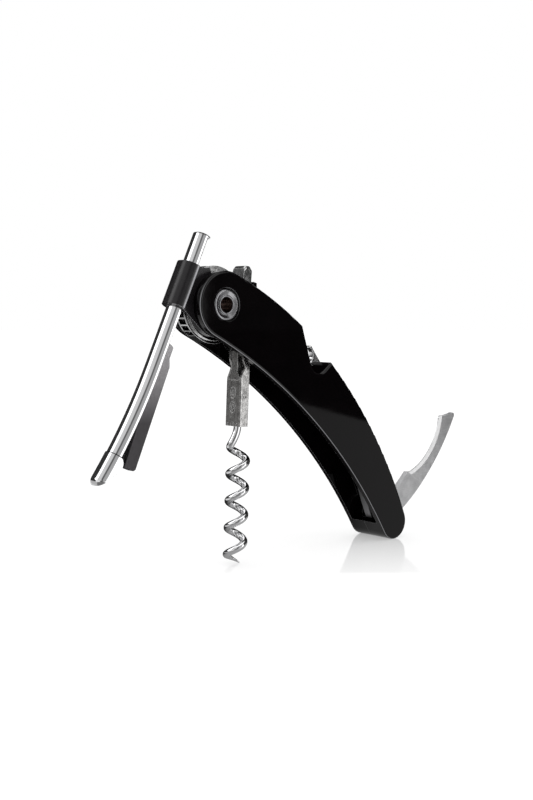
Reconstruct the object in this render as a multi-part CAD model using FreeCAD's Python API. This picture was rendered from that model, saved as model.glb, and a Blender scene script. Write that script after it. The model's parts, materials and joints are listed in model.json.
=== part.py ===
"""Lever corkscrew with a geared, sliding lever.

Frame: millimetres, +Z up.  The origin is the centre of the hollow axle at the head of the
handle, on the plane where the two handle shells meet.  The axle runs along Y, the handle
slopes down towards +X and the lever stands on the -X side.  The object is drawn as it
stands on a table: the end of the handle and the point of the worm touch z = FLOOR.
"""
import FreeCAD, Part
import math
import os

# ---------------------------------------------------------------- driving dimensions
FLOOR = -90.65            # height of the table below the axle

# handle
HALF_THICKNESS = 8.8      # handle, from the joint plane to an outer face
SHELL_WALL = 2.2          # thickness of a shell's side wall and of its spine
EDGE_ROUND = 0.7          # rounding of the outer edges
HEAD_RADIUS = 11.3
END_RADIUS = 6.6
END_CENTRE = (85.25, FLOOR + END_RADIUS)
SPINE_START_ANGLE = 66.5  # where the spine leaves the head circle, degrees from +X
NOTCH_TOP = (35.3, -7.3)
NOTCH_VERTEX = (41.7, -27.4)
NOTCH_FAR = (50.0, -20.8)
NOTCH_ROUND = 4.2
OUTER_END_ANGLE = 23.0    # where the outer curve joins the end circle
BELLY_START_ANGLE = 243.7  # where the lower edge leaves the head circle
BELLY_END_ANGLE = 211.5   # where the lower edge joins the end circle
SPINE_OPEN_X = 16.8       # the spine is closed from here to the notch
CHANNEL_END_Z = FLOOR + 6.9
HUB_RADIUS = 10.6         # raised boss that carries the bracket sideways
HUB_FACE = 4.4            # its face, from the joint plane

# axle and its eyelets
AXLE_OUTER = 3.2
AXLE_BORE = 2.6
EYELET_RADIUS = 5.2
EYELET_DEPTH = 0.9
RECESS_RADIUS = 5.75
FIT = 0.05                # radial running clearance of pins and the axle

# lever: s is the distance from the axle towards the lever, t runs down along it
LEAN = 25.2               # lever's lean from the vertical, degrees
ROD_INNER = 12.4          # s of the channel's open edge
ROD_OUTER = 15.6          # s of the channel's back
ROD_HALF_WIDTH = 3.2
ROD_SHEET = 0.75
ROD_ROUND = 2.8
ROD_TOP = -19.5
ROD_END_ROUND = 0.3
ROD_BEND_T = 28.0         # the lever bends outwards from here
ROD_BEND_RADIUS = 212.0
FOOT_T = 60.0
FOOT_LENGTH = 12.0
FOOT_PROUD = 0.25
LIP_LENGTH = 0.9
LIP_DEPTH = 1.1
COLLAR_TOP = -8.2
COLLAR_EDGE = 12.7        # s where the collar steps down to the cheeks
COLLAR_BACK = 17.2
COLLAR_HALF_WIDTH = 4.7
COLLAR_ROUND = 3.9
COLLAR_BOTTOM = 7.2
SHEET = 1.0               # bracket sheet
SLIDE_GAP = 0.1           # between the rod and the collar
CHEEK_RADIUS = 11.0
CHEEK_TOP_X = -3.4

# gear and rack
PITCH_RADIUS = 12.5
TEETH = 32                # on a full circle; only an arc is toothed
FIRST_TOOTH = 84
LAST_TOOTH = 238
GEAR_OUTER = 13.1
GEAR_ROOT = 11.65
SLOT_HALF_WIDTH = 1.75    # along Y
GEAR_HALF_WIDTH = 2.3
GEAR_FLANGE_RADIUS = 12.1
GEAR_FLANGE_HALF = 3.2
RACK_HALF_WIDTH = 1.6
RACK_TIP = 11.95
RACK_ROOT = 13.3
RACK_CHAMFER = 1.2        # clears the rounding inside the channel
BACKLASH = 0.13

# worm
WORM_PIVOT = (14.2, -13.0)
WORM_TILT = 2.6           # the worm hangs this far from the vertical, foot towards the lever
WORM_RADIUS = 4.27        # outside
WIRE_RADIUS = 1.33
WORM_PITCH = 9.45
WORM_TURNS = 4.34         # below the first crest
HELIX_TOP = 36.4          # the first crest, below the pivot
HELIX_START_ANGLE = 139.0
TIP_TURNS = 0.34          # the last of the helix tapers to the point
HOLDER_WEB = -3.25        # the holder's web and its open side, along X from the worm's line
HOLDER_OPEN = 0.65
HOLDER_HALF_WIDTH = 3.85  # along Y
HOLDER_SHOULDER = 13.2    # below the pivot
HOLDER_BOTTOM = 29.0
NECK_HALF_WIDTH = 1.5
SHANK_X = -0.7            # the shank, along X from the worm's line
PIN_RADIUS = 1.25
HOLDER_SHEET = 0.8
STAMP_HEIGHTS = (-17.4, -22.4)  # middles of the pressed ovals, from the pivot
STAMP_LINE = 0.3
STAMP_DEPTH = 0.18

# foil knife
KNIFE_PIVOT = (87.4, -81.6)
KNIFE_TANG = 5.4          # radius of the tang about its pin
KNIFE_HALF = 1.0
KNIFE_SLOT_HALF = 1.35
KNIFE_PIN_RADIUS = 1.25
SHOULDER = (101.8, -66.7)
EDGE_ROOT = (104.2, -66.9)
EDGE_TOP = (121.9, -47.0)
EDGE_SAGITTA = 3.63
EDGE_HALF = 0.25          # half the thickness left at the ground edge
BEVEL_WIDTH = 1.4
GRIND_STEP = 0.12

# cap lifter
LIFTER_HALF = 1.1
LIFTER_PIN = (53.4, -27.0)
LIFTER_PIN_RADIUS = 1.1

# small fixings
GEAR_PIN = (13.4, -0.6)
GEAR_PIN_RADIUS = 0.9
DOWELS = ((27.0, -5.6), (81.6, -87.4), (36.4, -16.2))
DOWEL_RADIUS = 0.9
DOWEL_BOSS = 2.0
HOLDER_RIVET = (-1.35, -18.8)  # from the pivot
RIVET_RADIUS = 0.9
SPRING_FRONT = 2.4         # the spring reaches this far in front of and behind the joint plane
SPRING_BACK = 0.5

NODES = {}


# ---------------------------------------------------------------- helpers
def vec(x, z, y=0.0):
    return FreeCAD.Vector(x, y, z)


def polar(centre, radius, degrees):
    angle = math.radians(degrees)
    return (centre[0] + radius * math.cos(angle), centre[1] + radius * math.sin(angle))


def line(a, b):
    return Part.LineSegment(vec(*a), vec(*b)).toShape()


def arc(a, middle, b):
    return Part.Arc(vec(*a), vec(*middle), vec(*b)).toShape()


def bulged(a, b, sagitta):
    """Arc from a to b whose middle stands off the chord, to the left of a->b when positive."""
    dx, dz = b[0] - a[0], b[1] - a[1]
    length = math.hypot(dx, dz)
    middle = ((a[0] + b[0]) / 2 - dz / length * sagitta, (a[1] + b[1]) / 2 + dx / length * sagitta)
    return arc(a, middle, b)


def face(edges):
    return Part.Face(Part.Wire(edges))


def outline(points):
    """Closed face through straight edges."""
    return face([line(a, b) for a, b in zip(points, points[1:] + points[:1])])


def slab(flat, y_low, y_high):
    """Extrude a flat XZ shape from y_low to y_high."""
    shape = flat.copy()
    shape.translate(FreeCAD.Vector(0, y_low, 0))
    return shape.extrude(FreeCAD.Vector(0, y_high - y_low, 0))


def disc(centre, radius, y_low, y_high):
    start = FreeCAD.Vector(centre[0], y_low, centre[1])
    return Part.makeCylinder(radius, y_high - y_low, start, FreeCAD.Vector(0, 1, 0))


def round_face(centre, radius):
    return Part.Face(Part.Wire(Part.makeCircle(radius, vec(*centre), FreeCAD.Vector(0, 1, 0))))


def block(x_low, x_high, y_low, y_high, z_low, z_high):
    corner = FreeCAD.Vector(x_low, y_low, z_low)
    return Part.makeBox(x_high - x_low, y_high - y_low, z_high - z_low, corner)


def mirrored(shape):
    return shape.mirror(FreeCAD.Vector(0, 0, 0), FreeCAD.Vector(0, 1, 0))


def turned(shape, degrees, centre=(0.0, 0.0)):
    """Turn about an axis parallel to +Y."""
    result = shape.copy()
    result.rotate(vec(*centre), FreeCAD.Vector(0, 1, 0), degrees)
    return result


def lever_point(s, t):
    """Point at distance s from the axle and t down along the lever."""
    lean = math.radians(LEAN)
    away = (-math.cos(lean), math.sin(lean))
    down = (-math.sin(lean), -math.cos(lean))
    return (away[0] * s + down[0] * t, away[1] * s + down[1] * t)


def rounded(shape, radius, chosen):
    edges = [edge for edge in shape.Edges if chosen(edge)]
    return shape.makeFillet(radius, edges)


def keep(name, shape):
    if shape.ShapeType == "Compound" and len(shape.Solids) == 1:
        shape = shape.Solids[0]
    shape = shape.removeSplitter()
    if shape.ShapeType == "Compound" and len(shape.Solids) == 1:
        shape = shape.Solids[0]
    NODES[name] = shape
    return shape


# ---------------------------------------------------------------- handle outline
def arc_centre(a, b, sagitta):
    """Centre of the arc from a to b with the given sagitta to the left of a->b."""
    dx, dz = b[0] - a[0], b[1] - a[1]
    length = math.hypot(dx, dz)
    radius = (length ** 2 / 4 + sagitta ** 2) / (2 * sagitta)
    off = sagitta - radius
    return ((a[0] + b[0]) / 2 - dz / length * off, (a[1] + b[1]) / 2 + dx / length * off)


SPINE_START = polar((0, 0), HEAD_RADIUS, SPINE_START_ANGLE)
SPINE_SAGITTA = 0.98
OUTER_END = polar(END_CENTRE, END_RADIUS, OUTER_END_ANGLE)
OUTER_SAGITTA = 3.7
BELLY_START = polar((0, 0), HEAD_RADIUS, BELLY_START_ANGLE)
BELLY_END = polar(END_CENTRE, END_RADIUS, BELLY_END_ANGLE)
BELLY_SAGITTA = 8.07


def notch_tangents():
    """Ends and middle of the round at the bottom of the notch."""
    def unit(a, b):
        length = math.hypot(b[0] - a[0], b[1] - a[1])
        return ((b[0] - a[0]) / length, (b[1] - a[1]) / length)
    first = unit(NOTCH_VERTEX, NOTCH_TOP)
    second = unit(NOTCH_VERTEX, NOTCH_FAR)
    half = math.acos(first[0] * second[0] + first[1] * second[1]) / 2
    run = NOTCH_ROUND / math.tan(half)
    bisector = unit((0, 0), (first[0] + second[0], first[1] + second[1]))
    reach = NOTCH_ROUND / math.sin(half) - NOTCH_ROUND
    start = (NOTCH_VERTEX[0] + first[0] * run, NOTCH_VERTEX[1] + first[1] * run)
    end = (NOTCH_VERTEX[0] + second[0] * run, NOTCH_VERTEX[1] + second[1] * run)
    middle = (NOTCH_VERTEX[0] + bisector[0] * reach, NOTCH_VERTEX[1] + bisector[1] * reach)
    return start, middle, end


def handle_face():
    start, middle, end = notch_tangents()
    return face([
        bulged(SPINE_START, NOTCH_TOP, SPINE_SAGITTA),
        line(NOTCH_TOP, start),
        arc(start, middle, end),
        line(end, NOTCH_FAR),
        bulged(NOTCH_FAR, OUTER_END, OUTER_SAGITTA),
        arc(OUTER_END, polar(END_CENTRE, END_RADIUS, -62.0), BELLY_END),
        bulged(BELLY_END, BELLY_START, -BELLY_SAGITTA),
        arc(BELLY_START, (-HEAD_RADIUS, 0.0), SPINE_START),
    ])


def channel_face():
    """The hollow inside the handle: the outline moved in by the wall, open along the belly."""
    inner = handle_face().makeOffset2D(-SHELL_WALL)
    centre = arc_centre(BELLY_END, BELLY_START, -BELLY_SAGITTA)
    radius = math.hypot(BELLY_END[0] - centre[0], BELLY_END[1] - centre[1])
    mouth = round_face(centre, radius + SHELL_WALL + 0.4)
    limit = outline([(-40, 30), (SPINE_OPEN_X, 30), (SPINE_OPEN_X, -8), (95, -60), (95, CHANNEL_END_Z),
                     (40, CHANNEL_END_Z), (-40, -40)])
    head = outline([(-40, 30), (SPINE_OPEN_X, 30), (SPINE_OPEN_X, -24), (-40, -40)])
    return inner.fuse(mouth).common(limit).fuse(head)


# ---------------------------------------------------------------- handle parts
def boss(centre, radius, inner_face, pin_radius, pin_depth):
    """Boss inside the front shell with a blind pin hole; returns what to add and what to cut."""
    post = disc(centre, radius, -HALF_THICKNESS + SHELL_WALL / 2, -inner_face)
    hole = disc(centre, pin_radius, -pin_depth, 1)
    return post, hole


def knife_sweep_face():
    """Slot in the spine for the knife: the whole sector that the blade swings through."""
    return outline([(57.2, -29.4), (66.0, -20.0), (125.0, -60.0), (112.0, -92.0), (88.0, -86.5),
                    (80.0, -78.0), (72.0, -62.0), (60.0, -38.0)])


def stop_tab_face():
    far = SPINE_OPEN_X + 1.4
    return outline([(SPINE_OPEN_X, 3.0), (SPINE_OPEN_X, 7.9), (far, 7.5), (far, 2.0)])


def shell():
    """The front moulded half of the handle; the back half is its mirror image."""
    body = slab(handle_face(), -HALF_THICKNESS, 0)
    body = rounded(body, EDGE_ROUND, lambda e: abs(e.BoundBox.YMax + HALF_THICKNESS) < 1e-4)
    body = body.cut(slab(channel_face(), -HALF_THICKNESS + SHELL_WALL, 1))
    body = body.fuse(disc((0, 0), HUB_RADIUS, -HALF_THICKNESS + SHELL_WALL / 2, -HUB_FACE))
    body = body.fuse(slab(stop_tab_face(), -3.4, 0))
    bosses = [
        boss(WORM_PIVOT, 2.7, HOLDER_HALF_WIDTH + 0.15, PIN_RADIUS, 7.6),
        boss(KNIFE_PIVOT, 4.0, KNIFE_SLOT_HALF, KNIFE_PIN_RADIUS, 7.6),
        boss(LIFTER_PIN, 2.6, LIFTER_HALF, LIFTER_PIN_RADIUS, 7.6),
        boss(GEAR_PIN, 2.1, GEAR_FLANGE_HALF + 0.05, GEAR_PIN_RADIUS, 7.6),
    ]
    bosses += [boss(place, DOWEL_BOSS, 0.0, DOWEL_RADIUS, 5.5) for place in DOWELS]
    outer = slab(handle_face(), -HALF_THICKNESS, 0)
    for post, hole in bosses:
        body = body.fuse(post.common(outer))
    body = body.cut(slab(knife_sweep_face(), -KNIFE_SLOT_HALF, 1))
    body = body.cut(disc(KNIFE_PIVOT, KNIFE_TANG + 0.5, -KNIFE_SLOT_HALF, 1))
    body = body.cut(slab(lifter_face(), -LIFTER_HALF - 0.02, 1))
    body = body.cut(slab(spring_face(), -SPRING_FRONT, 1))
    for post, hole in bosses:
        body = body.cut(hole)
    body = body.cut(disc((0, 0), AXLE_OUTER, -20, 1))
    return body.cut(disc((0, 0), RECESS_RADIUS, -20, -HALF_THICKNESS + EYELET_DEPTH))


def pin(centre, radius, reach):
    shape = disc(centre, radius, -reach, reach)
    return shape.makeChamfer(0.15, shape.Edges)


def hollow_axle():
    """Tube whose ends are rolled over the eyelets."""
    ends = HALF_THICKNESS + 0.15
    tube = disc((0, 0), AXLE_OUTER, -ends, ends)
    tube = tube.cut(disc((0, 0), AXLE_BORE, -20, 20))
    return rounded(tube, 0.25, lambda e: abs(abs(e.BoundBox.YMax) - ends) < 1e-4)


def eyelet():
    """Dished cup washer in the recess of the front shell."""
    low = -HALF_THICKNESS - 0.1
    washer = disc((0, 0), EYELET_RADIUS, low, -HALF_THICKNESS + EYELET_DEPTH)
    washer = rounded(washer, 0.5, lambda e: abs(e.BoundBox.YMax - low) < 1e-4)
    dish = Part.makeCone(EYELET_RADIUS - 0.75, AXLE_OUTER + 0.3, 0.4, vec(0, 0, low), FreeCAD.Vector(0, 1, 0))
    return washer.cut(dish).cut(disc((0, 0), AXLE_OUTER, -20, 20))


# ---------------------------------------------------------------- gear and bracket
def gear_slot(angle):
    """Space between two gear teeth."""
    pitch_half = math.pi * PITCH_RADIUS / TEETH / 2 + BACKLASH
    rim = GEAR_OUTER + 0.3
    top = pitch_half + (rim - PITCH_RADIUS) * 0.42
    bottom = pitch_half - (PITCH_RADIUS - GEAR_ROOT) * 0.22
    slot = outline([(GEAR_ROOT, -bottom), (rim, -top), (rim, top), (GEAR_ROOT, bottom)])
    return turned(slab(slot, -SLOT_HALF_WIDTH, SLOT_HALF_WIDTH), -angle)


def drive_gear():
    """Gear with slotted rim; an ear takes the key pin and a lug stands up through the spine."""
    gear = disc((0, 0), GEAR_OUTER, -GEAR_HALF_WIDTH, GEAR_HALF_WIDTH)
    gear = gear.fuse(disc((0, 0), GEAR_FLANGE_RADIUS, -GEAR_FLANGE_HALF, GEAR_FLANGE_HALF))
    ear = outline([(6.0, -8.0), (12.4, -3.9), (15.4, -2.6), (15.6, 4.2), (16.4, 12.2), (15.6, 13.3),
                   (13.6, 13.4), (13.0, 12.8), (12.2, 8.4), (7.6, 10.2)])
    gear = gear.fuse(slab(ear, -GEAR_FLANGE_HALF + 0.2, GEAR_FLANGE_HALF - 0.2))
    gear = rounded(gear, 0.8, lambda e: e.BoundBox.ZMin > 12.0 and e.BoundBox.XMin > 12.9)
    step = 360.0 / TEETH
    phase = 180.0 - LEAN + step / 2
    for index in range(-TEETH, TEETH):
        angle = phase + index * step
        if FIRST_TOOTH < angle < LAST_TOOTH:
            gear = gear.cut(gear_slot(angle))
    gear = gear.cut(disc(GEAR_PIN, GEAR_PIN_RADIUS, -20, 20))
    return gear.cut(disc((0, 0), AXLE_OUTER, -20, 20))


def cheek_plan():
    """Bracket seen from the side."""
    points = [lever_point(COLLAR_BACK, COLLAR_TOP),
              lever_point(COLLAR_BACK, COLLAR_BOTTOM),
              lever_point(13.6, COLLAR_BOTTOM),
              polar((0, 0), CHEEK_RADIUS, 224.0),
              (0.0, 0.0),
              (CHEEK_TOP_X, 12.3),
              lever_point(11.2, COLLAR_TOP)]
    return outline(points).fuse(round_face((0, 0), CHEEK_RADIUS))


def lever_slab(s_low, s_high, t_low, t_high, half_width):
    corners = ((s_low, t_low), (s_high, t_low), (s_high, t_high), (s_low, t_high))
    return slab(outline([lever_point(s, t) for s, t in corners]), -half_width, half_width)


def along_lever(edge, s, tolerance=1e-3):
    """True when the whole edge lies at distance s from the axle line, on the straight of the lever."""
    lean = math.radians(LEAN)
    ends = [vertex.Point for vertex in edge.Vertexes]
    return all(abs(-math.cos(lean) * p.x + math.sin(lean) * p.z - s) < tolerance for p in ends)


def lever_bracket():
    """Sheet strap round the rod, with two cheeks that turn on the axle."""
    gap = ROD_HALF_WIDTH + SLIDE_GAP
    back = ROD_OUTER + SLIDE_GAP
    inner = lever_slab(-31, back, -31, 31, gap)
    inner = rounded(inner, ROD_ROUND + SLIDE_GAP, lambda e: along_lever(e, back) and e.Length > 31)
    cheeks = slab(cheek_plan(), -gap - SHEET, gap + SHEET)
    cheeks = cheeks.common(lever_slab(-30, COLLAR_EDGE + 0.5, -30, 30, 20))
    collar = lever_slab(COLLAR_EDGE, COLLAR_BACK, COLLAR_TOP, COLLAR_BOTTOM, COLLAR_HALF_WIDTH)
    collar = rounded(collar, COLLAR_ROUND, lambda e: along_lever(e, COLLAR_BACK) and e.Length > 12)
    strap = cheeks.fuse(collar).cut(inner)
    bridge = lever_slab(10.9, 11.8, COLLAR_TOP, COLLAR_TOP + 0.7, gap + SHEET / 2)
    return strap.fuse(bridge).cut(disc((0, 0), AXLE_OUTER + FIT, -20, 20))


# ---------------------------------------------------------------- lever
def bent(s, run):
    """Point of the lever at distance s from the axle and run along it, past the bend."""
    angle = run / ROD_BEND_RADIUS
    middle = (ROD_INNER + ROD_OUTER) / 2
    radius = ROD_BEND_RADIUS - (s - middle)
    return lever_point(middle + ROD_BEND_RADIUS - radius * math.cos(angle),
                       ROD_BEND_T + radius * math.sin(angle))


def rod_plan(s_low, s_high, t_low, run_high):
    """The lever seen from the side between two distances from the axle."""
    return face([
        line(lever_point(s_low, t_low), lever_point(s_high, t_low)),
        line(lever_point(s_high, t_low), lever_point(s_high, ROD_BEND_T)),
        arc(bent(s_high, 0), bent(s_high, run_high / 2), bent(s_high, run_high)),
        line(bent(s_high, run_high), bent(s_low, run_high)),
        arc(bent(s_low, run_high), bent(s_low, run_high / 2), bent(s_low, 0)),
        line(lever_point(s_low, ROD_BEND_T), lever_point(s_low, t_low)),
    ])


FOOT_RUN = FOOT_T - ROD_BEND_T


def near_middle(edge, mark):
    """True when the edge's middle lies at the given place, seen from the side."""
    if edge.Length < 5:
        return False
    middle = edge.valueAt((edge.FirstParameter + edge.LastParameter) / 2)
    return math.hypot(middle.x - mark[0], middle.z - mark[1]) < 0.9


def on_back(edge, s):
    """True for an edge that runs along the lever at distance s from the axle."""
    straight = lever_point(s, (ROD_TOP + ROD_BEND_T) / 2)
    return near_middle(edge, straight) or near_middle(edge, bent(s, FOOT_RUN / 2))


def at_rod_top(edge):
    """True for the outer edges of the lever's upper end."""
    lean = math.radians(LEAN)
    heights = [-math.sin(lean) * v.Point.x - math.cos(lean) * v.Point.z for v in edge.Vertexes]
    return all(abs(t - ROD_TOP) < 1e-3 for t in heights)


def lever_rod():
    """Rolled channel, open towards the axle, closed by a stop lip at the top."""
    web = ROD_OUTER - ROD_SHEET
    rod = slab(rod_plan(ROD_INNER, ROD_OUTER, ROD_TOP, FOOT_RUN), -ROD_HALF_WIDTH, ROD_HALF_WIDTH)
    rod = rounded(rod, ROD_ROUND, lambda e: on_back(e, ROD_OUTER))
    hollow = slab(rod_plan(ROD_INNER - 1, web, ROD_TOP + LIP_LENGTH, FOOT_RUN + 1),
                  -ROD_HALF_WIDTH + ROD_SHEET, ROD_HALF_WIDTH - ROD_SHEET)
    hollow = rounded(hollow, ROD_ROUND - ROD_SHEET, lambda e: on_back(e, web))
    rod = rod.cut(hollow)
    lip = lever_slab(ROD_INNER - LIP_DEPTH, ROD_INNER + 0.5, ROD_TOP, ROD_TOP + LIP_LENGTH,
                     ROD_HALF_WIDTH - 0.2)
    lip = rounded(lip, 0.35, lambda e: along_lever(e, ROD_INNER - LIP_DEPTH) and e.Length > 5)
    rod = rod.fuse(lip).removeSplitter()
    return rounded(rod, ROD_END_ROUND, at_rod_top)


def curved_strip(s_low, s_high, run_low, run_high):
    """Strip of the bent lever between two distances from the axle."""
    middle = (run_low + run_high) / 2
    return face([
        line(bent(s_low, run_low), bent(s_high, run_low)),
        arc(bent(s_high, run_low), bent(s_high, middle), bent(s_high, run_high)),
        line(bent(s_high, run_high), bent(s_low, run_high)),
        arc(bent(s_low, run_high), bent(s_low, middle), bent(s_low, run_low)),
    ])


def at_foot_tip(edge, back, tip_run):
    """True for the edges round the outer end of the foot's bar, except the one nearest to the axle."""
    tip = bent(back, tip_run)
    near = bent(5.0, tip_run)
    ends = [vertex.Point for vertex in edge.Vertexes]
    on_tip = [math.hypot(p.x - tip[0], p.z - tip[1]) < 1e-3 for p in ends]
    on_near = [math.hypot(p.x - near[0], p.z - near[1]) < 1e-3 for p in ends]
    return all(on_tip) or (any(on_tip) and any(on_near))


def lever_foot():
    """Hooked foot at the end of the channel; its serrated edge grips the neck of the bottle."""
    back = ROD_OUTER + FOOT_PROUD
    half = ROD_HALF_WIDTH + FOOT_PROUD
    tip_run = FOOT_RUN + FOOT_LENGTH
    bar = slab(curved_strip(5.0, back, FOOT_RUN, tip_run), -half, half)
    bar = rounded(bar, ROD_ROUND, lambda e: near_middle(e, bent(back, (FOOT_RUN + tip_run) / 2))
                  or at_foot_tip(e, back, tip_run))
    plan = face([
        line(bent(ROD_INNER + 0.1, FOOT_RUN), bent(back, FOOT_RUN)),
        arc(bent(back, FOOT_RUN), bent(back, FOOT_RUN + 6), bent(back, tip_run - 0.9)),
        arc(bent(back, tip_run - 0.9), bent(back - 0.7, tip_run), bent(back - 1.6, tip_run - 0.5)),
        arc(bent(back - 1.6, tip_run - 0.5), bent(12.5, FOOT_RUN + 8.2), bent(10.6, FOOT_RUN + 3.8)),
        arc(bent(10.6, FOOT_RUN + 3.8), bent(10.6, FOOT_RUN + 1.7), bent(ROD_INNER + 0.1, FOOT_RUN)),
    ])
    foot = bar.common(slab(plan, -half, half))
    foot = foot.cut(slab(curved_strip(5.0, back - 0.9, FOOT_RUN - 1, tip_run - 2.0), -2.0, 2.0))
    for index in range(5):
        run = FOOT_RUN + 4.2 + index * 1.15
        groove = outline([bent(9.0, run - 0.6), bent(11.15 + index * 0.42, run), bent(9.0, run + 0.6)])
        foot = foot.cut(slab(groove, -20, 20))
    return foot


def rack_bar():
    """Steel bar in the channel: toothed at the top, its lower end is the ledge that rests on the rim."""
    web = ROD_OUTER - ROD_SHEET
    profile = outline([lever_point(s, t) for s, t in (
        (web, ROD_TOP + LIP_LENGTH), (RACK_ROOT, ROD_TOP + LIP_LENGTH), (RACK_ROOT, 17.0), (11.2, 19.2),
        (10.2, 19.4), (9.2, 19.9), (9.2, 23.7), (8.0, 26.4), (6.9, 61.6), (7.5, 62.3), (11.3, 62.4),
        (13.4, 24.0), (web, 20.0))])
    bar = slab(profile, -RACK_HALF_WIDTH, RACK_HALF_WIDTH)
    back_middle = lever_point(web, (ROD_TOP + LIP_LENGTH + 20.0) / 2)
    bar = bar.makeChamfer(RACK_CHAMFER, [edge for edge in bar.Edges if near_middle(edge, back_middle)])
    pitch = 2 * math.pi * PITCH_RADIUS / TEETH
    slope = math.tan(math.radians(20.0))
    root_half = pitch / 4 - BACKLASH + (RACK_ROOT - PITCH_RADIUS) * slope
    tip_half = pitch / 4 - BACKLASH - (PITCH_RADIUS - RACK_TIP) * slope
    first = math.ceil((ROD_TOP + LIP_LENGTH + 1.0) / pitch - 0.5)
    last = math.floor(16.0 / pitch - 0.5)
    for index in range(first, last + 1):
        t = (index + 0.5) * pitch
        corners = ((RACK_ROOT + 0.2, t - root_half), (RACK_ROOT, t - root_half), (RACK_TIP, t - tip_half),
                   (RACK_TIP, t + tip_half), (RACK_ROOT, t + root_half), (RACK_ROOT + 0.2, t + root_half))
        tooth = outline([lever_point(s, t_corner) for s, t_corner in corners])
        bar = bar.fuse(slab(tooth, -RACK_HALF_WIDTH, RACK_HALF_WIDTH))
    return bar


# ---------------------------------------------------------------- worm
def hung(shape):
    """Carry a shape drawn about the worm's pivot, hanging straight down, to its place."""
    result = shape.copy()
    result.rotate(FreeCAD.Vector(0, 0, 0), FreeCAD.Vector(0, 1, 0), WORM_TILT)
    result.translate(vec(*WORM_PIVOT))
    return result


def helix_point(turns):
    """Centre of the wire, a number of turns below the first crest."""
    radius = WORM_RADIUS - WIRE_RADIUS
    angle = math.radians(HELIX_START_ANGLE - 360.0 * turns)
    return FreeCAD.Vector(radius * math.cos(angle), radius * math.sin(angle), -HELIX_TOP - WORM_PITCH * turns)


def helix_direction(turns):
    radius = WORM_RADIUS - WIRE_RADIUS
    angle = math.radians(HELIX_START_ANGLE - 360.0 * turns)
    rise = WORM_PITCH / (2 * math.pi)
    return FreeCAD.Vector(radius * math.sin(angle), -radius * math.cos(angle), -rise).normalize()


def helix_edge(first, last):
    """Right-handed helix between two numbers of turns below the first crest."""
    helix = Part.makeHelix(WORM_PITCH, WORM_PITCH * (last - first), WORM_RADIUS - WIRE_RADIUS)
    helix.rotate(FreeCAD.Vector(0, 0, 0), FreeCAD.Vector(0, 0, 1), HELIX_START_ANGLE - 360.0 * last)
    helix.translate(FreeCAD.Vector(0, 0, -HELIX_TOP - WORM_PITCH * last))
    return helix


def wire_section(centre, direction, radius):
    return Part.Wire(Part.makeCircle(radius, centre, direction))


def worm():
    """Wire worm: straight shank, right-handed helix and a tapered point."""
    shank_top = -HOLDER_SHOULDER - 2.0
    shank_end = FreeCAD.Vector(SHANK_X, 0, -HOLDER_BOTTOM)
    shank = Part.makeCylinder(WIRE_RADIUS, shank_top - shank_end.z, shank_end)
    lead = Part.BSplineCurve()
    lead.interpolate(Points=[shank_end, helix_point(0)],
                     InitialTangent=FreeCAD.Vector(0, 0, -9.0), FinalTangent=helix_direction(0) * 9.0)
    lead_wire = Part.Wire(lead.toShape())
    upright = FreeCAD.Vector(0, 0, 1)
    lead_solid = lead_wire.makePipeShell([wire_section(shank_end, upright, WIRE_RADIUS)], True, True)
    full = WORM_TURNS - TIP_TURNS
    coil = Part.Wire(helix_edge(0, full)).makePipeShell(
        [wire_section(helix_point(full), helix_direction(full), WIRE_RADIUS)], True, True)
    point = Part.Wire(helix_edge(full, WORM_TURNS)).makePipeShell(
        [wire_section(helix_point(WORM_TURNS), helix_direction(WORM_TURNS), 0.2),
         wire_section(helix_point(full), helix_direction(full), WIRE_RADIUS)], True, True)
    wire = shank.fuse([lead_solid, coil, point])
    return hung(wire.cut(disc(HOLDER_RIVET, RIVET_RADIUS, -20, 20)))


def stamp_ring(height, half_width, half_height):
    """Cutter for an oval groove pressed into the holder's web."""
    def oval(extra):
        ellipse = Part.Ellipse(FreeCAD.Vector(0, 0, 0), half_height + extra, half_width + extra)
        flat = Part.Face(Part.Wire(ellipse.toShape()))
        flat.rotate(FreeCAD.Vector(0, 0, 0), FreeCAD.Vector(0, 1, 0), 90)
        flat.translate(FreeCAD.Vector(HOLDER_WEB - 1.0, 0, height))
        return flat.extrude(FreeCAD.Vector(1.0 + STAMP_DEPTH, 0, 0))
    return oval(STAMP_LINE / 2).cut(oval(-STAMP_LINE / 2))


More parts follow.
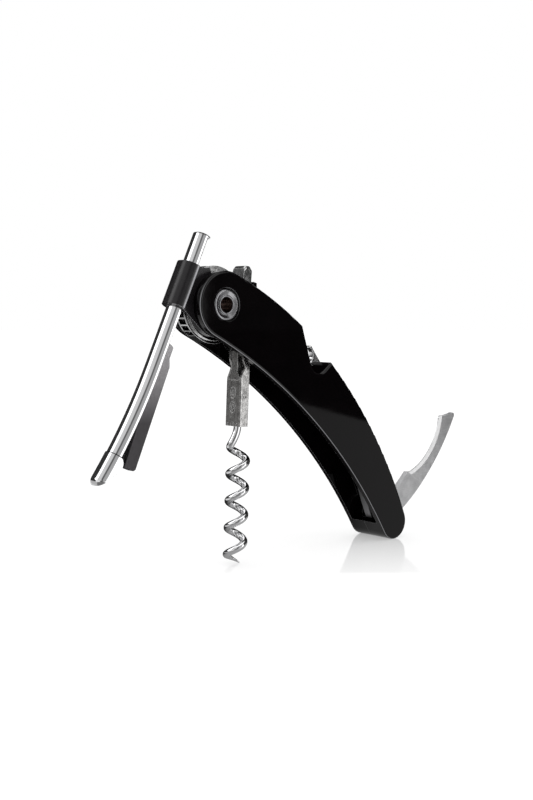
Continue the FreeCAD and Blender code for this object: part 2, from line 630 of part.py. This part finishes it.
def worm_holder():
    """Folded sheet holder: two cheeks joined by a web, with a narrow neck up to the pin."""
    cheek = outline([(HOLDER_WEB, -HOLDER_BOTTOM), (HOLDER_OPEN, -HOLDER_BOTTOM), (HOLDER_OPEN, -8.4),
                     (1.6, 0.0), (-2.2, 0.0), (-2.2, -6.0), (-1.2, -8.4), (HOLDER_WEB, -HOLDER_SHOULDER)])
    box = slab(cheek, -HOLDER_HALF_WIDTH, HOLDER_HALF_WIDTH)
    box = rounded(box, 0.7, lambda e: abs(e.BoundBox.XMax - HOLDER_WEB) < 1e-4 and e.BoundBox.ZLength > 10)
    box = box.fuse(disc((0, 0), 2.5, -HOLDER_HALF_WIDTH, HOLDER_HALF_WIDTH))
    inner = HOLDER_HALF_WIDTH - HOLDER_SHEET
    inside = block(HOLDER_WEB + HOLDER_SHEET, 5, -inner, inner, -HOLDER_BOTTOM - 1, -HOLDER_SHOULDER - 0.4)
    inside = inside.fuse(block(-5, 5, -inner, inner, -HOLDER_SHOULDER + 0.4, 10))
    box = box.cut(inside)
    neck = block(HOLDER_WEB + 0.3, -0.6, -NECK_HALF_WIDTH, NECK_HALF_WIDTH, -HOLDER_SHOULDER - 0.2, -3.0)
    neck = neck.fuse(block(-1.6, 1.0, -NECK_HALF_WIDTH, NECK_HALF_WIDTH, -6.0, 0.0))
    low, high = -HOLDER_SHOULDER - 0.2, -HOLDER_SHOULDER + 2.8
    corners = [(-HOLDER_HALF_WIDTH, low), (HOLDER_HALF_WIDTH, low),
               (NECK_HALF_WIDTH, high), (-NECK_HALF_WIDTH, high)]
    points = [FreeCAD.Vector(HOLDER_WEB + 0.3, y, z) for y, z in corners + corners[:1]]
    shoulders = Part.Face(Part.makePolygon(points)).extrude(FreeCAD.Vector(HOLDER_SHEET, 0, 0))
    eye = disc((0, 0), 2.5, -NECK_HALF_WIDTH, NECK_HALF_WIDTH)
    holder = box.fuse([neck, shoulders, eye])
    for height in STAMP_HEIGHTS:
        holder = holder.cut(stamp_ring(height, 1.35, 1.9))
        holder = holder.cut(stamp_ring(height, 0.55, 0.95))
    for index in range(4):
        y = (index - 1.5) * 1.55
        mark = block(HOLDER_WEB - 1, HOLDER_WEB + STAMP_DEPTH, y - 0.22, y + 0.22, -HOLDER_BOTTOM - 1,
                     -HOLDER_BOTTOM + 1.1)
        holder = holder.cut(mark)
    holder = holder.cut(disc((0, 0), PIN_RADIUS + FIT, -20, 20))
    return hung(holder.cut(disc(HOLDER_RIVET, RIVET_RADIUS, -20, 20)))


def worm_rivet():
    """Rivet through the holder and the shank, with a dimple in each end."""
    reach = HOLDER_HALF_WIDTH + 0.1
    rivet = disc(HOLDER_RIVET, RIVET_RADIUS, -reach, reach)
    for side in (-1, 1):
        centre = vec(HOLDER_RIVET[0], HOLDER_RIVET[1], side * (reach + 0.45))
        rivet = rivet.cut(Part.makeSphere(0.75, centre))
    return hung(rivet)


# ---------------------------------------------------------------- knife, spring and lifter
def blade_side():
    """Everything on the blade's side of the grinding step."""
    return outline([SHOULDER, (111.5, -72.9), (140.0, -72.0), (140.0, -35.0), (SHOULDER[0], -35.0)])


def knife():
    """Foil knife in its opened place; the concave edge is ground on both faces."""
    tang_start = polar(KNIFE_PIVOT, KNIFE_TANG, 80.0)
    tang_end = polar(KNIFE_PIVOT, KNIFE_TANG, 292.0)
    blade = face([
        arc(tang_start, polar(KNIFE_PIVOT, KNIFE_TANG, 210.0), tang_end),
        bulged(tang_end, (131.0, -46.4), -4.5),
        arc((131.0, -46.4), (131.1, -45.2), (129.9, -44.7)),
        bulged((129.9, -44.7), (123.0, -45.5), 0.3),
        arc((123.0, -45.5), (122.2, -45.9), EDGE_TOP),
        bulged(EDGE_TOP, EDGE_ROOT, EDGE_SAGITTA),
        line(EDGE_ROOT, SHOULDER),
        line(SHOULDER, (95.0, -73.0)),
        line((95.0, -73.0), tang_start),
    ])
    solid = slab(blade, -KNIFE_HALF, KNIFE_HALF)
    centre = arc_centre(EDGE_TOP, EDGE_ROOT, EDGE_SAGITTA)
    radius = math.hypot(EDGE_TOP[0] - centre[0], EDGE_TOP[1] - centre[1])
    ground = slab(blade_side(), -20, 20)
    for side in (-1, 1):
        cone = Part.makeCone(radius + BEVEL_WIDTH, radius, KNIFE_HALF - EDGE_HALF,
                             vec(centre[0], centre[1], side * KNIFE_HALF), FreeCAD.Vector(0, -side, 0))
        solid = solid.cut(cone.common(ground))
        low, high = sorted((side * (KNIFE_HALF - GRIND_STEP), side * 5))
        solid = solid.cut(slab(blade_side(), low, high))
    return solid.cut(disc(KNIFE_PIVOT, KNIFE_PIN_RADIUS + FIT, -20, 20))


def spring_face():
    """Flat leaf that bears on the knife's tang, held in the end block."""
    return face([
        arc((72.6, -66.3), (75.6, -74.6), (79.3, -83.0)),
        line((79.3, -83.0), (80.4, -85.8)),
        line((80.4, -85.8), (82.0, -85.2)),
        line((82.0, -85.2), (81.2, -82.2)),
        arc((81.2, -82.2), (77.6, -74.0), (74.0, -66.4)),
        line((74.0, -66.4), (72.6, -66.3)),
    ])


def lifter_face():
    """Crown-cap claw: the bite faces the notch, the root is held between the shells."""
    return face([
        arc((46.1, -15.6), (47.9, -18.4), (46.2, -21.1)),
        arc((46.2, -21.1), (46.4, -21.6), (46.9, -21.7)),
        bulged((46.9, -21.7), (49.4, -21.9), -0.4),
        line((49.4, -21.9), (47.4, -25.0)),
        line((47.4, -25.0), (51.6, -29.6)),
        line((51.6, -29.6), (56.2, -28.0)),
        line((56.2, -28.0), (56.0, -25.4)),
        bulged((56.0, -25.4), (47.5, -15.1), 0.25),
        arc((47.5, -15.1), (46.7, -14.8), (46.1, -15.6)),
    ])


def cap_lifter():
    claw = slab(lifter_face(), -LIFTER_HALF, LIFTER_HALF)
    flat_edges = [edge for edge in claw.Edges if edge.BoundBox.YLength < 1e-4]
    claw = claw.makeChamfer(0.25, [e for e in flat_edges if e.BoundBox.ZMax > -16.0 and e.Length > 4])
    return claw.cut(disc(LIFTER_PIN, LIFTER_PIN_RADIUS, -20, 20))


# ---------------------------------------------------------------- assembly
front = shell()
keep("front_shell", front)
keep("back_shell", mirrored(front))
keep("hollow_axle", hollow_axle())
keep("front_eyelet", eyelet())
keep("back_eyelet", mirrored(eyelet()))
keep("drive_gear", drive_gear())
keep("gear_key_pin", pin(GEAR_PIN, GEAR_PIN_RADIUS, 7.4))
keep("lever_bracket", lever_bracket())
keep("lever_rod", lever_rod())
keep("lever_foot", lever_foot())
keep("rack_bar", rack_bar())
keep("worm", worm())
keep("worm_holder", worm_holder())
keep("worm_rivet", worm_rivet())
keep("worm_pin", pin(WORM_PIVOT, PIN_RADIUS, 7.4))
keep("foil_knife", knife())
keep("knife_pin", pin(KNIFE_PIVOT, KNIFE_PIN_RADIUS, 7.4))
keep("knife_spring", slab(spring_face(), -SPRING_FRONT, SPRING_BACK))
keep("cap_lifter", cap_lifter())
keep("lifter_pin", pin(LIFTER_PIN, LIFTER_PIN_RADIUS, 7.4))
keep("shell_dowels", Part.makeCompound([pin(place, DOWEL_RADIUS, 5.3) for place in DOWELS]))

os.makedirs("parts", exist_ok=True)
for name, shape in NODES.items():
    shape.exportStep("parts/" + name + ".step")
    print(name, len(shape.Solids), shape.isValid(), round(shape.Volume, 1))
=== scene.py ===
"""Looks of the lever corkscrew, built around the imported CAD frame.  Everything is in metres."""
import bpy
import json
import math
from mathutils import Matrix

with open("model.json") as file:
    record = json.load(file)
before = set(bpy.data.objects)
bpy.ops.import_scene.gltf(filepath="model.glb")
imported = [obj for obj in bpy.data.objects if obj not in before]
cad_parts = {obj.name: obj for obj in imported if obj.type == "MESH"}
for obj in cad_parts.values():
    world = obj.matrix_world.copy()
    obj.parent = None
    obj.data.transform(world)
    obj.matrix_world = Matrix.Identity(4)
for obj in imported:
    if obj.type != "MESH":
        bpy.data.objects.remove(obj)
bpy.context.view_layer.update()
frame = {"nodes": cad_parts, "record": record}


MM = 0.001
FLOOR_Z = -90.65 * MM


# ---------------------------------------------------------------- camera
CAMERA_PLACE = (-242.73 * MM, -294.53 * MM, -0.66 * MM)
CAMERA_YAW = math.radians(42.36)     # from +Y towards +X
CAMERA_DIP = math.radians(4.73)
CAMERA_LENS = 50.67

camera_data = bpy.data.cameras.new("camera")
camera_data.lens = CAMERA_LENS
camera_data.sensor_width = 36.0
camera_data.clip_start = 0.01
camera_data.clip_end = 50.0
camera = bpy.data.objects.new("camera", camera_data)
camera.location = CAMERA_PLACE
camera.rotation_euler = (math.pi / 2 - CAMERA_DIP, 0.0, -CAMERA_YAW)
bpy.context.collection.objects.link(camera)
bpy.context.scene.camera = camera
bpy.context.scene.view_settings.view_transform = "Standard"


# ---------------------------------------------------------------- node helpers
class Tree:
    """Short way to write a node tree."""

    def __init__(self, tree):
        self.nodes = tree.nodes
        self.links = tree.links
        self.nodes.clear()

    def add(self, kind, inputs=None, **settings):
        node = self.nodes.new("ShaderNode" + kind)
        for key, value in settings.items():
            setattr(node, key, value)
        for key, value in (inputs or {}).items():
            socket = node.inputs[key]
            if isinstance(value, bpy.types.NodeSocket):
                self.links.new(value, socket)
            else:
                socket.default_value = value
        return node

    def math(self, operation, a, b=0.0):
        return self.add("Math", {0: a, 1: b}, operation=operation).outputs[0]

    def ramp(self, value, stops):
        """Colour by value; each stop is a place and a colour, or a place and a grey level."""
        node = self.add("ValToRGB", {"Fac": value})
        ramp = node.color_ramp
        while len(ramp.elements) < len(stops):
            ramp.elements.new(1.0)
        for element, (place, level) in zip(ramp.elements, stops):
            colour = level if isinstance(level, tuple) else (level, level, level)
            element.position = place
            element.color = (*colour, 1.0)
        return node.outputs["Color"]

    def spread(self, value, low, high, to_low, to_high):
        node = self.add("MapRange", {"Value": value, "From Min": low, "From Max": high,
                                     "To Min": to_low, "To Max": to_high})
        return node.outputs["Result"]


# ---------------------------------------------------------------- materials
def object_place(tree):
    """Coordinates of the CAD frame, in metres."""
    return tree.add("TexCoord").outputs["Object"]


def place_in(tree, scale=(1.0, 1.0, 1.0), rotation=(0.0, 0.0, 0.0)):
    """Coordinates on the piece in millimetres, stretched by scale."""
    mapping = tree.add("Mapping", {"Vector": object_place(tree), "Rotation": rotation,
                                   "Scale": tuple(1000.0 * c for c in scale)})
    return mapping.outputs["Vector"]


def noise(tree, vector, scale, detail=3.0, roughness=0.5):
    return tree.add("TexNoise", {"Vector": vector, "Scale": scale, "Detail": detail,
                                 "Roughness": roughness}).outputs["Fac"]


def edge_normal(tree, radius):
    """Normal that softens the edges by a radius in metres."""
    return tree.add("Bevel", {"Radius": radius}, samples=6).outputs["Normal"]


def dot(tree, a, b):
    return tree.add("VectorMath", {0: a, 1: b}, operation="DOT_PRODUCT").outputs["Value"]


def facing(tree, direction):
    """Cosine between the surface's own normal and a direction."""
    return dot(tree, tree.add("NewGeometry").outputs["Normal"], direction)


def height(tree):
    return tree.add("SeparateXYZ", {0: object_place(tree)}).outputs["Z"]


def about_axle(tree):
    """Distance from the axle's line, and distance from the plane where the shells meet."""
    split = tree.add("SeparateXYZ", {0: object_place(tree)})
    flat = tree.add("CombineXYZ", {"X": split.outputs["X"], "Z": split.outputs["Z"]}).outputs[0]
    radius = tree.add("VectorMath", {0: flat}, operation="LENGTH").outputs["Value"]
    return radius, tree.math("ABSOLUTE", split.outputs["Y"])


def sharp_edges(tree, softened, start=0.97, full=0.86):
    """1 on a sharp edge and 0 on an open surface, between two cosines of the softening."""
    return tree.spread(facing(tree, softened), start, full, 0.0, 1.0)


def blended(tree, factor, first, second):
    """Colour between first, at factor 0, and second, at factor 1."""
    return tree.add("Mix", {0: factor, 6: first, 7: second}, data_type="RGBA").outputs[2]


def grey(level):
    return (level, level, level, 1.0)


def inside(tree, value, low, high, soft):
    """1 where the value lies between two limits, fading over soft at each."""
    return tree.math("MULTIPLY", tree.spread(value, low - soft, low + soft, 0.0, 1.0),
                     tree.spread(value, high - soft, high + soft, 1.0, 0.0))


# ---------------------------------------------------------------- marks on the pieces: real marks, painted shade and painted highlights
LEVER_DOWN = (-0.4258, 0.0, -0.9048)       # along the straight of the lever, and away from the axle
LEVER_AWAY = (-0.9048, 0.0, 0.4258)
FOOT_JOINT_LINE = (-0.557, 0.0, -0.8305)   # down along the lever at its foot
FOOT_JOINT = 61.67 * MM                    # the foot begins this far down that line
JOINT_HALF = 0.18 * MM


def bore_stain(tree):
    """Darkening down in the bore of the hollow axle."""
    radius, across = about_axle(tree)
    deep = tree.spread(across, 8.85 * MM, 8.0 * MM, 0.0, 1.0)
    return tree.math("MULTIPLY", tree.spread(radius, 2.75 * MM, 2.65 * MM, 0.0, 1.0), deep)


def slot_painted_shade(tree):
    """Painted shade in the spaces between the gear's teeth."""
    radius, across = about_axle(tree)
    between = tree.spread(across, 1.76 * MM, 1.70 * MM, 0.0, 1.0)
    return tree.math("MULTIPLY", tree.spread(radius, 12.9 * MM, 12.6 * MM, 0.0, 1.0), between)


def spring_end_painted_shade(tree):
    """Painted shade on the leaf spring's lower end."""
    return tree.spread(height(tree), -82.0 * MM, -82.6 * MM, 0.0, 1.0)


def joint_line_and_lip_reflection(tree):
    """Dark line where the lever's foot joins its channel, and a painted dark reflection on the lip at the
    upper end.
    """
    place = object_place(tree)
    joint = inside(tree, dot(tree, place, FOOT_JOINT_LINE), FOOT_JOINT - JOINT_HALF,
                   FOOT_JOINT + JOINT_HALF, 0.06 * MM)
    lip_reflection = tree.spread(dot(tree, place, LEVER_DOWN), -18.9 * MM, -19.2 * MM, 0.0, 1.0)
    return tree.math("MAXIMUM", joint, lip_reflection)


def collar_crease_glint(tree):
    """Painted highlight where the collar's front steps down to the cheek."""
    along = inside(tree, dot(tree, object_place(tree), LEVER_AWAY), 12.75 * MM, 13.3 * MM, 0.3 * MM)
    return tree.math("MULTIPLY", along, tree.spread(facing(tree, (0.0, -1.0, 0.0)), 0.7, 0.95, 0.0, 1.0))


def notch_shade(tree):
    """The bottom of the notch is shaded, so it mirrors nothing."""
    split = tree.add("SeparateXYZ", {0: object_place(tree)})
    across = inside(tree, split.outputs["X"], 37.0 * MM, 49.0 * MM, 0.5 * MM)
    rise = inside(tree, split.outputs["Z"], -28.0 * MM, -18.0 * MM, 0.5 * MM)
    within = tree.spread(tree.math("ABSOLUTE", split.outputs["Y"]), 8.1 * MM, 7.9 * MM, 0.0, 1.0)
    return tree.math("MULTIPLY", tree.math("MULTIPLY", across, rise), within)


def ground_bevel_glint(tree):
    """Painted highlight on the knife's ground bevel; the bevel leans by 28 degrees from the blade's faces."""
    lean = tree.math("ABSOLUTE", facing(tree, (0.0, 1.0, 0.0)))
    return tree.math("MULTIPLY", inside(tree, lean, 0.83, 0.93, 0.02), 0.8)


def web_painted_shade(tree):
    """Painted shade: the holder's web is dull and painted darker than its cheeks."""
    return tree.spread(facing(tree, (-1.0, 0.0, 0.0)), 0.5, 0.9, 0.0, 0.62)


def ledge_painted_shade(tree):
    """Painted shade: the toothed bar darkens evenly towards its lower end."""
    return tree.spread(height(tree), -14.0 * MM, -38.0 * MM, 0.0, 0.9)


# ---------------------------------------------------------------- finishes
# Dark colour of the lever's real joint line, and of painted shade and a painted dark reflection elsewhere.
JOINT_AND_SHADE_DARK = (0.01, 0.008, 0.007, 1.0)
# White of the painted highlights on sharp edges.
PAINTED_GLINT_WHITE = (0.8, 0.8, 0.8, 1.0)


def finish_metal(name, tint, rough, grain, bump=0.0, edge=0.12, mottle=(1.0, 1.0), mottle_scale=0.35,
                 rotation=(0.0, 0.0, 0.0), stain_and_shade=None, stain_and_shade_colour=JOINT_AND_SHADE_DARK, painted_edge_glint=None, more_painted_glint=None):
    """Metal with a stretched grain; mottle is the darkest and lightest share of the tint.

    The dark mask marks what takes the dark colour: a real tone or joint line on some pieces, and painted
    shade or a painted dark reflection on others.  The edge cosines are the pair between which a sharp edge
    turns white as a painted highlight, and the extra mask marks what else is painted white with it.
    """
    material = bpy.data.materials.new(name)
    material.use_nodes = True
    tree = Tree(material.node_tree)
    fine = noise(tree, place_in(tree, grain, rotation), 1.0, 4.0, 0.6)
    cloud = noise(tree, place_in(tree), mottle_scale, 4.0, 0.55)
    mixed = tree.math("ADD", tree.math("MULTIPLY", fine, 0.4), tree.math("MULTIPLY", cloud, 0.6))
    dark = tuple(mottle[0] * c for c in tint)
    light = tuple(min(1.0, mottle[1] * c) for c in tint)
    colour = tree.ramp(mixed, ((0.36, dark), (0.62, light)))
    # The dark mask is a real tone or joint line on some pieces, and painted shade or a painted dark
    # reflection on others.
    if stain_and_shade:
        colour = blended(tree, stain_and_shade(tree), colour, stain_and_shade_colour)
    roughness = tree.spread(fine, 0.3, 0.7, rough[0], rough[1])
    softened = edge_normal(tree, edge * MM)
    bumped = tree.add("Bump", {"Height": fine, "Strength": bump, "Distance": 0.0001, "Normal": softened})
    shader = tree.add("BsdfPrincipled", {"Base Color": colour, "Metallic": 1.0, "Roughness": roughness,
                                         "Normal": bumped.outputs["Normal"]})
    # Painted highlight: the sharp edges, and what the extra mask marks, turn white and lose their metal.
    if painted_edge_glint:
        painted_glint = sharp_edges(tree, softened, *painted_edge_glint)
        if more_painted_glint:
            painted_glint = tree.math("MAXIMUM", painted_glint, more_painted_glint(tree))
        tree.links.new(blended(tree, painted_glint, colour, PAINTED_GLINT_WHITE), shader.inputs["Base Color"])
        tree.links.new(tree.math("SUBTRACT", 1.0, painted_glint), shader.inputs["Metallic"])
    tree.add("OutputMaterial", {"Surface": shader.outputs["BSDF"]})
    return material


def finish_dark(name, tint, rough, specular, bump, bump_scale, edge, painted_glint_colour, glint_side, rim=None, shade=None,
                crease=None):
    """Black plastic or coating: faint skin, cloudy sheen and painted highlights on edges facing one side.

    rim is a band of distances from the joint plane, in millimetres, that gets the painted highlight as well.
    crease marks what gets the painted highlight on every side, and shade marks what mirrors nothing.
    """
    material = bpy.data.materials.new(name)
    material.use_nodes = True
    tree = Tree(material.node_tree)
    place = place_in(tree)
    skin = noise(tree, place, bump_scale, 4.0, 0.55)
    cloud = noise(tree, place, 0.12, 3.0, 0.5)
    softened = edge_normal(tree, edge * MM)
    # Painted highlight on sharp edges and on the rim band, kept to edges facing the given side; the crease
    # gets it on every side.
    line = sharp_edges(tree, softened)
    if rim:
        across = tree.math("ABSOLUTE", tree.add("SeparateXYZ", {0: object_place(tree)}).outputs["Y"])
        line = tree.math("MAXIMUM", line, inside(tree, across, rim[0] * MM, rim[1] * MM, 0.08 * MM))
    line = tree.math("MULTIPLY", line, tree.spread(dot(tree, softened, glint_side), 0.25, 0.65, 0.0, 1.0))
    if crease:
        line = tree.math("MAXIMUM", line, crease(tree))
    body = tree.ramp(cloud, ((0.3, tuple(0.75 * c for c in tint)), (0.7, tuple(1.25 * c for c in tint))))
    colour = blended(tree, line, body, tuple(painted_glint_colour) + (1.0,))
    roughness = tree.spread(cloud, 0.3, 0.7, rough[0], rough[1])
    bumped = tree.add("Bump", {"Height": skin, "Strength": bump, "Distance": 0.0001, "Normal": softened})
    shader = tree.add("BsdfPrincipled", {"Base Color": colour, "Roughness": roughness,
                                         "Specular IOR Level": specular, "Normal": bumped.outputs["Normal"]})
    if shade:
        tree.links.new(tree.spread(shade(tree), 0.0, 1.0, specular, 0.0), shader.inputs["Specular IOR Level"])
    tree.add("OutputMaterial", {"Surface": shader.outputs["BSDF"]})
    return material


LEAN = math.radians(25.2)
BLADE_LIE = math.radians(38.0)

# Painted highlights: white sharp edges on metal pieces, the knife's bevel, and the bright edges of handle and
# bracket.
# Painted reflection: the dark lip at the lever's upper end; the lever's dark joint line is real.
# Painted shade: the dark tooth spaces, the spring's lower end, the holder's web and the lower toothed bar.
finishes = {
    "handle_plastic": finish_dark("handle_plastic", (0.0012, 0.0008, 0.0010), (0.02, 0.05), 0.3, 0.02, 0.35,
                                  0.15, (0.24, 0.24, 0.25), (-0.62, -0.45, -0.64), rim=(8.45, 8.62),
                                  shade=notch_shade),
    "bracket_black": finish_dark("bracket_black", (0.010, 0.009, 0.010), (0.17, 0.25), 0.4, 0.2, 5.0,
                                 0.16, (0.5, 0.5, 0.52), (0.1, -0.95, 0.0), crease=collar_crease_glint),
    "eyelet_chrome": finish_metal("eyelet_chrome", (0.30, 0.30, 0.31), (0.16, 0.24), (1.0, 1.0, 1.0), 0.05,
                                  stain_and_shade=bore_stain, stain_and_shade_colour=(0.32, 0.27, 0.25, 1.0), painted_edge_glint=(0.93, 0.80)),
    "gear_nickel": finish_metal("gear_nickel", (0.55, 0.55, 0.55), (0.06, 0.14), (0.6, 3.0, 0.6), 0.05,
                                mottle=(0.7, 1.3), mottle_scale=0.5, stain_and_shade=slot_painted_shade, painted_edge_glint=(0.94, 0.82)),
    "pin_steel": finish_metal("pin_steel", (0.55, 0.55, 0.55), (0.2, 0.35), (4.0, 4.0, 4.0), 0.2),
    "spring_steel": finish_metal("spring_steel", (0.42, 0.42, 0.43), (0.28, 0.42), (1.0, 8.0, 1.0), 0.2,
                                 stain_and_shade=spring_end_painted_shade),
    "lifter_chrome": finish_metal("lifter_chrome", (0.94, 0.94, 0.95), (0.12, 0.20), (1.5, 1.5, 1.5), 0.04,
                                  edge=0.2, painted_edge_glint=(0.985, 0.95)),
    "lever_chrome": finish_metal("lever_chrome", (0.88, 0.88, 0.89), (0.04, 0.10), (0.5, 0.5, 0.5), 0.06,
                                 stain_and_shade=joint_line_and_lip_reflection),
    "rack_steel": finish_metal("rack_steel", (0.42, 0.41, 0.42), (0.34, 0.5), (7.0, 7.0, 0.35), 0.3,
                               rotation=(0.0, -LEAN, 0.0), stain_and_shade=ledge_painted_shade,
                               stain_and_shade_colour=(0.035, 0.032, 0.035, 1.0)),
    "worm_chrome": finish_metal("worm_chrome", (0.88, 0.88, 0.89), (0.05, 0.12), (1.0, 1.0, 1.0), 0.08),
    "holder_nickel": finish_metal("holder_nickel", (0.70, 0.69, 0.68), (0.20, 0.36), (2.0, 2.0, 0.8), 0.25,
                                  mottle=(0.5, 1.25), mottle_scale=0.6, stain_and_shade=web_painted_shade,
                                  stain_and_shade_colour=(0.10, 0.095, 0.09, 1.0), painted_edge_glint=(0.97, 0.90)),
    "knife_steel": finish_metal("knife_steel", (0.80, 0.80, 0.81), (0.30, 0.42), (0.5, 4.0, 9.0), 0.2,
                                mottle=(0.8, 1.1), mottle_scale=0.25, rotation=(0.0, BLADE_LIE, 0.0),
                                painted_edge_glint=(0.992, 0.978), more_painted_glint=ground_bevel_glint),
}

slots = {part["node"]: part["material_slot"] for part in frame["record"]["subparts"]}
for node, piece in frame["nodes"].items():
    piece.data.materials.clear()
    piece.data.materials.append(finishes[slots[node]])


# ---------------------------------------------------------------- stage
FLOOR_RADIUS = 4.0
FLOOR_STEPS = 128
TABLE_TINT = 0.5
TABLE_GLOW = 0.55         # added to the table's own shade, so that it is white all over
TABLE_GLOSS = 0.07        # roughness of the polish
EVEN_LIGHT = 1.12         # brightness of the surroundings as matt surfaces see them
VIEW_LINE = (math.sin(CAMERA_YAW), math.cos(CAMERA_YAW), 0.0)
CARD_NORMAL = (0.89, 0.45, 0.0)
WEDGE_NORMAL = (-0.777, -0.629, 0.0)    # the table is bright on this side of a line through the axle
CARD_EDGE = 0.22          # what polished parts mirror of the table ends here, towards CARD_NORMAL

# brightness of the studio by azimuth in degrees, as polished parts mirror it: low down and higher up
LOW_AROUND = ((0, 0.04), (151, 0.03), (155, 0.9), (213, 0.8), (219, 0.12), (249, 0.12), (256, 0.4),
              (290, 0.4), (296, 2.2), (308, 2.2), (309.3, 0.04))
HIGH_AROUND = ((0, 0.04), (125, 0.03), (129, 2.0), (166, 2.0), (174, 0.66), (230, 0.62), (237, 0.12),
               (252, 0.12), (258, 0.4), (290, 0.4), (296, 1.0), (308, 0.9), (310, 0.04))
LOW_TOP = 0.26            # sines of the elevations between which the one gives way to the other
HIGH_START = 0.34
BACK_CARD = (29, 67)      # azimuths of the low white card behind the object, which the table mirrors
BACK_CARD_RISE = (0.25, 0.30)
OVERHEAD = 1.3
OVERHEAD_RISE = (0.74, 0.86)
POLISH_CENTRE = (0.06, -0.02, FLOOR_Z)  # the table is polished round here and matt further out
POLISH_REACH = (0.065, 0.13)
POLISH_NEAR = 0.12        # share of polish at its near line and towards the back
POLISH_FAR = 0.36


def table_polish(tree, place):
    """How much of the table's shade is polish: more towards the back, none nearer than a line."""
    depth = dot(tree, place, VIEW_LINE)
    polish = tree.math("MULTIPLY", tree.spread(depth, -0.004, 0.06, POLISH_NEAR, POLISH_FAR),
                       tree.spread(depth, -0.008, -0.003, 0.0, 1.0))
    away = tree.add("VectorMath", {0: place, 1: POLISH_CENTRE}, operation="DISTANCE").outputs["Value"]
    return tree.math("MULTIPLY", polish, tree.spread(away, POLISH_REACH[0], POLISH_REACH[1], 1.0, 0.0))


def table_as_mirrored(tree, place):
    """Brightness of the table by place, as polished parts mirror it."""
    split = tree.add("SeparateXYZ", {0: place})
    rising = tree.spread(split.outputs["X"], -0.10, 0.06, 0.16, 0.45)
    behind_lever = tree.spread(split.outputs["X"], -0.03, -0.01, 3.0, 0.06)
    rear = tree.spread(split.outputs["Y"], 0.0, 0.02, 0.0, 1.0)
    by_side = tree.math("ADD", tree.math("MULTIPLY", rear, behind_lever), tree.math("SUBTRACT", 1.0, rear))
    card = tree.spread(dot(tree, place, CARD_NORMAL), CARD_EDGE - 0.004, CARD_EDGE + 0.004, 1.0, 0.04)
    level = tree.math("MULTIPLY", tree.math("MULTIPLY", rising, by_side), card)
    wedge = tree.math("MULTIPLY", tree.spread(dot(tree, place, WEDGE_NORMAL), 0.0, 0.01, 0.0, 1.0),
                      tree.spread(split.outputs["X"], 0.0, 0.04, 0.0, 1.0))
    return tree.math("ADD", level, wedge)


def make_floor():
    """Round white table, with another brightness for the parts that mirror it."""
    mesh = bpy.data.meshes.new("floor")
    ring = []
    for step in range(FLOOR_STEPS):
        angle = 2 * math.pi * step / FLOOR_STEPS
        ring.append((FLOOR_RADIUS * math.cos(angle), FLOOR_RADIUS * math.sin(angle), FLOOR_Z))
    mesh.from_pydata(ring, [], [tuple(range(FLOOR_STEPS))])
    floor = bpy.data.objects.new("floor", mesh)
    bpy.context.collection.objects.link(floor)
    material = bpy.data.materials.new("floor")
    material.use_nodes = True
    tree = Tree(material.node_tree)
    place = object_place(tree)
    matt = tree.add("AddShader", {0: tree.add("BsdfDiffuse", {"Color": grey(TABLE_TINT)}).outputs[0],
                                  1: tree.add("Emission", {"Color": grey(TABLE_GLOW)}).outputs[0]})
    gloss = tree.add("BsdfGlossy", {"Color": grey(1.0), "Roughness": TABLE_GLOSS})
    seen = tree.add("MixShader", {0: table_polish(tree, place), 1: matt.outputs[0], 2: gloss.outputs[0]})
    mirrored = tree.add("Emission", {"Color": table_as_mirrored(tree, place)})
    ray = tree.add("LightPath").outputs["Is Glossy Ray"]
    shader = tree.add("MixShader", {0: ray, 1: seen.outputs[0], 2: mirrored.outputs[0]})
    tree.add("OutputMaterial", {"Surface": shader.outputs[0]})
    mesh.materials.append(material)


def make_world():
    """White sweep for the camera, even light, and soft boxes with dark flags between them as reflections."""
    world = bpy.data.worlds.new("studio")
    bpy.context.scene.world = world
    world.use_nodes = True
    tree = Tree(world.node_tree)
    split = tree.add("SeparateXYZ", {0: tree.add("TexCoord").outputs["Generated"]})
    azimuth = tree.math("ARCTAN2", split.outputs["Y"], split.outputs["X"])
    turn = tree.math("FRACT", tree.math("ADD", tree.math("DIVIDE", azimuth, 2 * math.pi), 1.0))
    low = tree.ramp(turn, tuple((degrees / 360.0, level) for degrees, level in LOW_AROUND))
    high = tree.ramp(turn, tuple((degrees / 360.0, level) for degrees, level in HIGH_AROUND))
    around = blended(tree, tree.spread(split.outputs["Z"], LOW_TOP, HIGH_START, 0.0, 1.0), low, high)
    card = tree.math("MULTIPLY", inside(tree, turn, BACK_CARD[0] / 360.0, BACK_CARD[1] / 360.0, 0.003),
                     tree.spread(split.outputs["Z"], BACK_CARD_RISE[0], BACK_CARD_RISE[1], 1.0, 0.0))
    around = blended(tree, card, around, grey(1.0))
    level = blended(tree, tree.spread(split.outputs["Z"], OVERHEAD_RISE[0], OVERHEAD_RISE[1], 0.0, 1.0),
                    around, grey(OVERHEAD))
    rays = tree.add("LightPath")
    mirrored = tree.add("Background", {"Color": level})
    even = tree.add("Background", {"Color": grey(EVEN_LIGHT)})
    sweep = tree.add("Background", {"Color": grey(1.0)})
    lit = tree.add("MixShader", {0: rays.outputs["Is Glossy Ray"], 1: even.outputs[0],
                                 2: mirrored.outputs[0]})
    both = tree.add("MixShader", {0: rays.outputs["Is Camera Ray"], 1: lit.outputs[0],
                                  2: sweep.outputs[0]})
    tree.add("OutputWorld", {"Surface": both.outputs[0]})


make_floor()
make_world()
